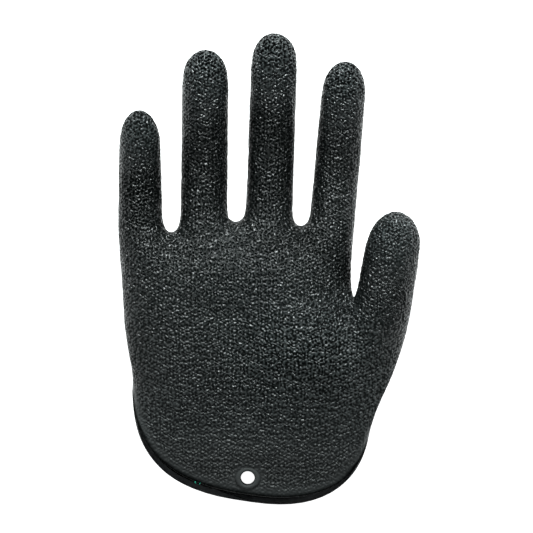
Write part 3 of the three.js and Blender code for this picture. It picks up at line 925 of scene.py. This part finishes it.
def patched(co, base, patches):
    """A value at each point: a base, changed by soft-edged oval patches."""
    found = np.full(len(co), base)
    for x, y, wide, high, change in patches:
        found += change * np.exp(-(((co[:, 0] - x) / wide) ** 2) - ((co[:, 1] - y) / high) ** 2)
    return found


def near_tips(co):
    """How near each point is to a fingertip, from 0 to 1."""
    found = np.zeros(len(co))
    for finger in (*fingers, thumb):
        lean = math.radians(finger["lean"])
        reach = finger["length"] - finger["half"] * tip_inset
        x = finger["x"] + math.sin(lean) * reach + shift.x
        y = finger["y"] + math.cos(lean) * reach + shift.y
        found += np.exp(-((np.hypot(co[:, 0] - x, co[:, 1] - y) / tip_reach) ** 2))
    return found


# Rings of faint folds: middle across and up, radius, reach, spacing, rise
FOLD_RINGS = (
    (14 * MM, -52 * MM, 14 * MM, 6 * MM, 3.6 * MM, 0.16 * MM),
    (-8 * MM, -62 * MM, 19 * MM, 6 * MM, 4.4 * MM, 0.1 * MM),
    (44 * MM, -20 * MM, 17 * MM, 7 * MM, 4 * MM, 0.12 * MM),
)
pucker_spacing = 2.9 * MM
pucker_rise = 0.2 * MM
pucker_width = 6 * MM
pucker_up = 8.5 * MM  # from the middle of the eyelet
pucker_length = 3 * MM


def folds(co):
    """Faint rings of folds in the palm and a fan of puckers above the eyelet."""
    found = np.zeros(len(co))
    for x, y, radius, reach, spacing, rise in FOLD_RINGS:
        apart = np.hypot(co[:, 0] - x, co[:, 1] - y)
        facing = step_up((co[:, 1] - y) / radius, -0.2, 0.5)
        near = np.exp(-(((apart - radius) / reach) ** 2))
        found += rise * facing * np.sin(2 * math.pi * apart / spacing) * near
    across, up = co[:, 0] - eyelet_x, co[:, 1] - eyelet_y
    fan = np.sin(2 * math.pi * across / pucker_spacing) * np.exp(-((across / pucker_width) ** 2))
    return found + pucker_rise * fan * np.exp(-(((up - pucker_up) / pucker_length) ** 2))


# Broad waves and the coarser crinkles: waves in a metre, and height
broad_scale, broad_height = 95, 0.25 * MM
crinkle_scale, crinkle_height = 520, 0.16 * MM
folds_low, folds_high = 8 * MM, 12 * MM  # the folds lie on the palm side, above these heights
eyelet_oval = 1.15  # the calm patch round an eyelet is wider than it is high


def crinkle_coat(coat):
    """Raises the coarser crinkles and folds, and keeps for the finish how crinkled and how dull each place
    is, with its painted light and shade and the painted shadow along the rolled edge.
    """
    mesh = coat.data
    co, out = each_point(mesh, "co"), each_point(mesh, "normal")
    from_edge = edge_distance(co)
    from_eyelet = np.hypot(co[:, 0] - eyelet_x, (co[:, 1] - eyelet_y) * eyelet_oval)
    calm_edge = step_up(from_edge, 1 * MM, 6 * MM)
    calm_eyelet = step_up(from_eyelet, 6.0 * MM, 10.5 * MM)
    tips = near_tips(co)
    crinkle = calm_edge * calm_eyelet * (patched(co, 0.9, ROUGH_PATCHES) + 0.3 * tips)
    lift = np.empty(len(co))
    for i, (point, amount) in enumerate(zip(co, crinkle)):
        place = Vector(point)
        broad = noise.noise(place * broad_scale)
        ridges = 1 - abs(noise.noise(place * crinkle_scale)) * 4
        lift[i] = broad * broad_height + amount * ridges * crinkle_height
    lift += folds(co) * step_up(co[:, 2], folds_low, folds_high)
    beyond_flange = step_up(from_eyelet, 6.5 * MM, 8.5 * MM)
    beyond_edge = 0.15 + 0.85 * step_up(from_edge, 0.5 * MM, 5 * MM)
    above_rest = step_up(co[:, 2], 0.0, 1.2 * MM)
    co = co + out * (lift * beyond_flange * beyond_edge * above_rest)[:, None]
    co[:, 2] = np.maximum(co[:, 2], 0)
    mesh.vertices.foreach_set("co", co.ravel())
    mesh.update()
    attribute(mesh, "crinkle", np.maximum(0.08, crinkle))
    # Painted light and shade: lighter where light falls on the palm and the fingertips, darker where the
    # coat is in shade
    attribute(mesh, "painted_light", np.maximum(0.05, patched(co, 0.6, PAINTED_LIGHT_PATCHES) + 2.0 * tips))
    attribute(mesh, "dull", 1 - step_up(from_edge, 10 * MM, 62 * MM))
    # Painted shadow: a dark line along the rolled edge, where the coat meets the tape below
    attribute(mesh, "under", 1 - step_up(from_edge, 0.9 * MM, 1.5 * MM))


coat_hole_radius = 4.5 * MM
liner_hole_radius = 4.45 * MM
liner_gap = 0.02 * MM  # between the wall's inner face and the knit
liner_start = 0.45  # how far up the first row of faces the knit begins


def make_coat():
    """The outer skin, with its rolled edge, its eyelet holes and its crinkles."""
    coat = new_object("latex_coat", skin.points, skin.faces, latex)
    subdivide(coat, 3)
    roll_edge(coat)
    cut_eyelet_holes(coat, coat_hole_radius)
    crinkle_coat(coat)
    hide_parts("coated_shell")


def make_liner():
    """The knit inside, from under the coat's rolled edge to the fingertips."""
    depth = wall + liner_gap
    points = [point - normal * depth for point, normal in zip(skin.points, normals)]
    for i, index in enumerate(edge_rows[0]):
        points[index] = points[index].lerp(points[edge_rows[1][i]], liner_start)
    faces = [face[::-1] for face in skin.faces]
    liner = new_object("knit_liner", points, faces, knit)
    subdivide(liner, 2)
    cut_eyelet_holes(liner, liner_hole_radius)
    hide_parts("coated_shell")


def beside_edge(place, up, inward):
    """A place beside the wrist edge: so far round it, up the wall and into the glove."""
    columns = []
    first = math.floor(place)
    for index in (first, first + 1):
        i = index % edge_count
        row, left = 0, up
        length = (skin.points[edge_rows[0][i]] - skin.points[edge_rows[1][i]]).length
        while left > length:
            left -= length
            row += 1
            length = (skin.points[edge_rows[row][i]] - skin.points[edge_rows[row + 1][i]]).length
        part = left / length
        below, above = edge_rows[row][i], edge_rows[row + 1][i]
        normal = normals[below].lerp(normals[above], max(0.0, part)).normalized()
        columns.append(skin.points[below].lerp(skin.points[above], part) - normal * inward)
    return columns[0].lerp(columns[1], place - first)


def loft_faces(rings, size, closed=False):
    """Faces between rings of a size that follow each other, back to the first ring where it is closed."""
    faces = []
    for ring in range(rings if closed else rings - 1):
        one, two = ring * size, (ring + 1) % rings * size
        for k in range(size):
            following = (k + 1) % size
            faces.append((one + k, one + following, two + following, two + k))
    return faces


def end_caps(rings, size):
    """The two faces that close a loft at its first and last ring."""
    last = (rings - 1) * size
    return [tuple(range(size))[::-1], tuple(range(last, last + size))]


def turned(faces):
    """The same faces, seen from their other side."""
    return [face[::-1] for face in faces]


# The tape's section, across its thickness and up its height: a rolled lower edge and a thin upper one
TAPE_SECTION = (
    (0.15, 0.02), (0.5, -0.05), (0.9, 0.03), (1.05, 0.14), (0.98, 0.27),
    (0.8, 0.34), (0.86, 0.45), (0.92, 0.7), (0.86, 0.92), (0.6, 1.0),
    (0.2, 1.0), (0.02, 0.9), (0.0, 0.6), (0.0, 0.3), (0.0, 0.12),
)
tape_point = 0.15  # the height of the tape's last end, as a share of its whole height
tape_climb = 0.6  # the stretch in which it climbs over its start, as a share of the lap


def make_binding():
    """The tape starts on the back, goes round by the thumb's side and comes to lie on its own start."""
    start = lap_place * edge_count
    parts = 512
    spots = [beside_edge(start - edge_count * k / parts, 0, wall) for k in range(parts + 1)]
    lengths = np.concatenate([[0], np.cumsum([(b - a).length for a, b in zip(spots, spots[1:])])])
    turns = np.arange(parts + 1) / parts
    whole = lengths[-1]
    total = whole + binding_lap
    stations = 260
    points, shares = [], []
    for s in range(stations + 1):
        distance = total * s / stations
        lapped = distance > whole
        turn = np.interp(distance % whole if lapped else distance, lengths, turns)
        place = start - edge_count * (turn + (1 if lapped else 0))
        over = (distance - whole) / binding_lap
        climb = smooth(1 + over / tape_climb)
        height = binding_height * lerp(1, tape_point, clamp(over))
        inward = wall + seat_gap + climb * (binding_thickness + seat_gap)
        for across, up in TAPE_SECTION:
            depth = inward + across * binding_thickness
            points.append(beside_edge(place, up * height - binding_reveal, depth))
            shares.append(up)
    size = len(TAPE_SECTION)
    faces = turned(loft_faces(stations + 1, size) + end_caps(stations + 1, size))
    binding = new_object("wrist_tape", points, faces, tape)
    attribute(binding.data, "across", shares)
    subdivide(binding, 1)
    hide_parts("wrist_binding")


# The section of the eyelet's outer flange: how far out from the hole and how high, as shares of the flange
EYELET_SECTION = (
    (-0.02, 0.0), (0.0, 0.45), (0.06, 0.78), (0.16, 0.96), (0.3, 1.0), (0.5, 1.0),
    (0.64, 0.96), (0.78, 0.8), (0.9, 0.5), (0.98, 0.2), (1.0, -0.1), (0.96, -0.28),
)
eyelet_steps = 96


def make_eyelet(name, node, height, up):
    """A barrel through the wall with a soft oval flange outside and a thin one inside."""
    width = flange_radius - hole_radius
    barrel = hole_radius + barrel_wall
    inside = -wall - seat_gap
    inner_flange = barrel + 0.14 * width
    inner_bottom = inside - 0.5 * MM
    section = [(hole_radius + out * width, seat_gap + rise * eyelet_rise) for out, rise in EYELET_SECTION]
    section += [(barrel, seat_gap * 0.3), (barrel, inside), (inner_flange, inside - 0.1 * MM)]
    section += [(barrel + 0.12 * width, inner_bottom), (hole_radius + 0.1 * MM, inner_bottom)]
    section += [(hole_radius, inside + 0.2 * MM), (hole_radius, -0.4 * MM)]
    points = []
    for step in range(eyelet_steps):
        angle = 2 * math.pi * step / eyelet_steps
        for radius, rise in section:
            outward = clamp((radius - barrel) / (flange_radius - barrel))
            depth = lerp(1, flange_depth / flange_radius, outward)
            x = eyelet_x + radius * math.cos(angle)
            y = eyelet_y + radius * math.sin(angle) * depth
            points.append((x, y, height + up * rise))
    faces = loft_faces(eyelet_steps, len(section), closed=True)
    piece = new_object(name, points, faces if up > 0 else turned(faces), rubber)
    subdivide(piece, 1)
    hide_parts(node)


def edge_place_at(x):
    """Where round the palm side's edge the coat passes a given x."""
    places = np.linspace(0, edge_count / 2, 400)
    found = [beside_edge(place, 0, 0).x for place in places]
    return float(places[int(np.argmin(np.abs(np.array(found) - x)))])


def make_yarn(name, x, turns, size):
    """A cut end of yarn that pokes out from under the coat's edge."""
    place = edge_place_at(x)
    depth = wall * 0.25
    root = beside_edge(place, -0.35 * MM, depth)
    away = (beside_edge(place, -1.2 * MM, depth) - root).normalized()
    up = Vector((0, 0, 1))
    across = away.cross(up).normalized()
    sides, rings = 10, 14
    points = []
    for r in range(rings + 1):
        t = r / rings
        centre = root + (away * 1.6 * t + across * 0.5 * math.sin(turns * t) + up * 0.3 * t) * size
        tapered = 1 - 0.35 * t
        thick = size * 0.5 * tapered * (0.8 + 0.2 * math.sin(9 * t))
        for k in range(sides):
            angle = 2 * math.pi * k / sides + 2 * t
            points.append(centre + (across * math.cos(angle) + up * math.sin(angle)) * thick)
    faces = loft_faces(rings + 1, sides) + end_caps(rings + 1, sides)
    piece = new_object(name, points, faces, yarn)
    subdivide(piece, 1)


make_coat()
make_liner()
make_binding()
top_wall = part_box("palm_eyelet")[1].z - seat_gap - eyelet_rise
back_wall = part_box("back_eyelet")[0].z + seat_gap + eyelet_rise
make_eyelet("palm_clip_eyelet", "palm_eyelet", top_wall, 1)
make_eyelet("back_clip_eyelet", "back_eyelet", back_wall, -1)
make_yarn("yarn_end_long", -36.2 * MM, 3.4, 0.75 * MM)
make_yarn("yarn_end_short", -34.2 * MM, 2.2, 0.55 * MM)


def make_floor():
    """White paper under the glove, bright enough to show no shadow."""
    finish = Finish("white_paper")
    tooth = finish.noise(finish.place(), 40.0)
    colour = finish.mix(tooth * 0.2, opaque(0.9, 0.9, 0.9), opaque(0.88, 0.88, 0.88))
    white = opaque(1, 1, 1)
    paper = finish.principled(Base_Color=colour, Roughness=0.9, Emission_Color=white, Emission_Strength=1.0)
    finish.surface(paper)
    half = 3.0
    drop = 0.2 * MM
    mesh = bpy.data.meshes.new("floor")
    corners = [(x * half, y * half, -drop) for x, y in ((-1, -1), (1, -1), (1, 1), (-1, 1))]
    mesh.from_pydata(corners, [], [(0, 1, 2, 3)])
    mesh.materials.append(finish.material)
    floor = bpy.data.objects.new("floor", mesh)
    bpy.context.scene.collection.objects.link(floor)


def add_softbox(name, place, aim, width, depth, power_watts, colour):
    """A rectangular light that faces a point on the glove."""
    light = bpy.data.lights.new(name, "AREA")
    light.shape = "RECTANGLE"
    light.size = width
    light.size_y = depth
    light.energy = power_watts
    light.color = colour
    holder = bpy.data.objects.new(name, light)
    holder.location = place
    holder.rotation_euler = (Vector(aim) - Vector(place)).to_track_quat("-Z", "Y").to_euler()
    bpy.context.scene.collection.objects.link(holder)


def make_lights():
    """A bright box beyond the fingertips, and dim ones above, at the sides and at the wrist."""
    cool = (0.93, 1.0, 1.0)
    add_softbox("far_box", (0.0, 1.3, 1.0), (0, 0.02, 0), 0.6, 0.35, 45, cool)
    add_softbox("top_box", (-0.1, 0.3, 1.6), (0, 0, 0), 1.2, 1.2, 3.4, cool)
    add_softbox("left_box", (-1.2, 0.3, 1.0), (0, 0, 0), 0.3, 0.3, 6.5, cool)
    add_softbox("right_box", (1.2, 0.3, 1.0), (0, 0, 0), 0.3, 0.3, 6.5, cool)
    add_softbox("near_box", (0.1, -1.3, 0.9), (0, 0, 0), 0.4, 0.3, 2.8, cool)
    world = bpy.data.worlds.new("studio")
    world.use_nodes = True
    background = world.node_tree.nodes["Background"]
    background.inputs["Color"].default_value = opaque(1, 1, 1)
    background.inputs["Strength"].default_value = 0.05
    bpy.context.scene.world = world


def make_camera():
    """Straight above the glove, far away behind a long lens, framed as the photograph is."""
    centre = (-1.25 * MM, 1.18 * MM)
    across = 266.5 * MM
    distance = 3.0
    camera = bpy.data.cameras.new("camera")
    camera.sensor_width = 36
    camera.lens = camera.sensor_width * distance / across
    holder = bpy.data.objects.new("camera", camera)
    holder.location = (centre[0], centre[1], distance)
    bpy.context.scene.collection.objects.link(holder)
    bpy.context.scene.camera = holder


make_floor()
make_lights()
make_camera()
bpy.context.scene.view_settings.view_transform = "Standard"
